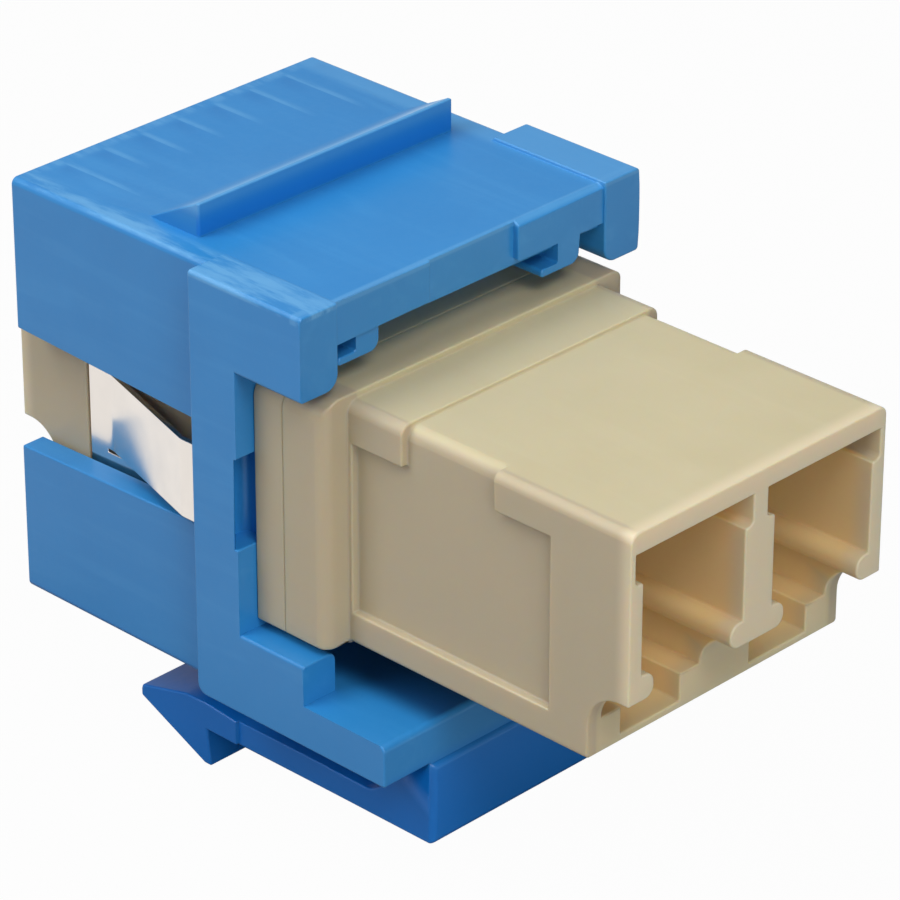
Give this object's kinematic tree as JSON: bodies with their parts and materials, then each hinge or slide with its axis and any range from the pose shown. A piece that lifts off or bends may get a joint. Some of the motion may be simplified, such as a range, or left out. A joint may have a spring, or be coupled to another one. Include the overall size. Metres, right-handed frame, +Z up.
{
  "type": "keystone fibre adapter",
  "caption": "Keystone snap-in duplex fibre adapter: blue moulded housing with a flexing release latch around a beige coupler body that joins latched fibre plugs from both sides.",
  "frame": {"origin": "middle of the stop face, the frame's front face that rests against the wall plate's rear", "axes": "+Y out of the front of the wall plate along the plug axis, +X across the two ports, +Z up with the fixed catch on top and the latch below"},
  "size_m": [0.0162, 0.0286, 0.0216],
  "materials": {
    "blue_moulding": "moulded blue plastic, soft sheen",
    "blue_latch": "moulded blue plastic, soft sheen",
    "beige_rear": "moulded beige plastic, satin",
    "beige_front": "moulded beige plastic, satin",
    "left_ceramic": "white zirconia, ground",
    "right_ceramic": "white zirconia, ground",
    "clip_steel": "bright spring steel strip"
  },
  "bodies": {
    "housing": {"keystone_housing": "blue_moulding", "adapter_rear_half": "beige_rear", "adapter_front_half": "beige_front", "left_alignment_sleeve": "left_ceramic", "right_alignment_sleeve": "right_ceramic", "retaining_clip": "clip_steel"},
    "latch": {"release_latch": "blue_latch"}
  },
  "joints": [
    {"name": "latch_flex", "type": "hinge", "parent": "housing", "child": "latch", "pos_m": [0, -0.0059, -0.0106], "axis": [1, 0, 0], "range_deg": [0, 12], "stiffness_Nm_per_rad": 0.05}
  ]
}
